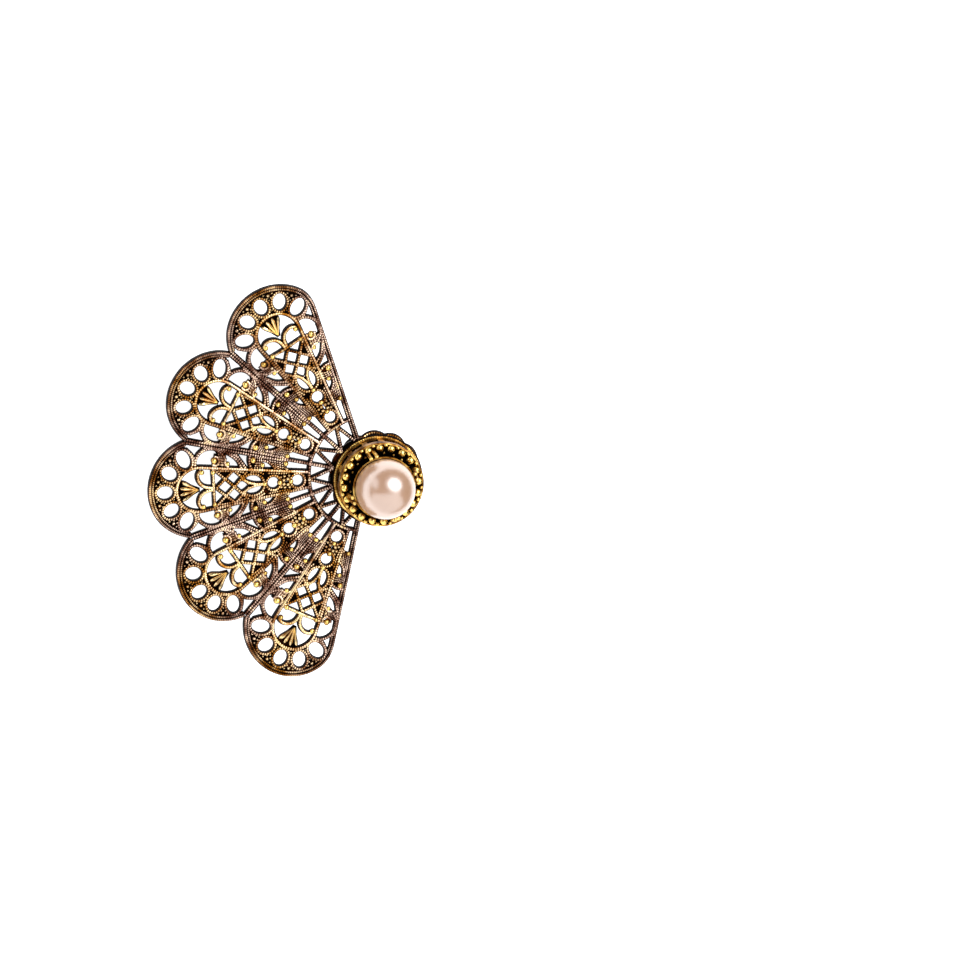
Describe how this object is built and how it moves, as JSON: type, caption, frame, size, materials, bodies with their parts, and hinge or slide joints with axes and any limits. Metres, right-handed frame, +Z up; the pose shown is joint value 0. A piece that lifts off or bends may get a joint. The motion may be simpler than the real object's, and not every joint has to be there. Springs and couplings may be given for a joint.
{
  "type": "fan earring",
  "caption": "Post earring: a pierced, fluted metal fan with scalloped lobes, and a large pearl held in a beaded gallery crown at its hub, resting face up.",
  "frame": {"origin": "centre of the bounding box, on the surface the earring rests on", "axes": "+Z up from the surface, +Y across the fan, -X from the pearl towards the tip of the middle lobe"},
  "size_m": [0.0452, 0.0668, 0.024],
  "materials": {
    "antique_brass": "antiqued, with dark recesses and worn highlights",
    "bright_brass": "polished, lightly antiqued",
    "pearl": "pearl lustre, pinkish champagne"
  },
  "bodies": {
    "root": {"filigree_fan": "antique_brass", "back_rosette": "antique_brass", "gallery_crown": "bright_brass", "pearl_cup": "bright_brass", "pearl": "pearl", "ear_post": "bright_brass"}
  },
  "joints": []
}
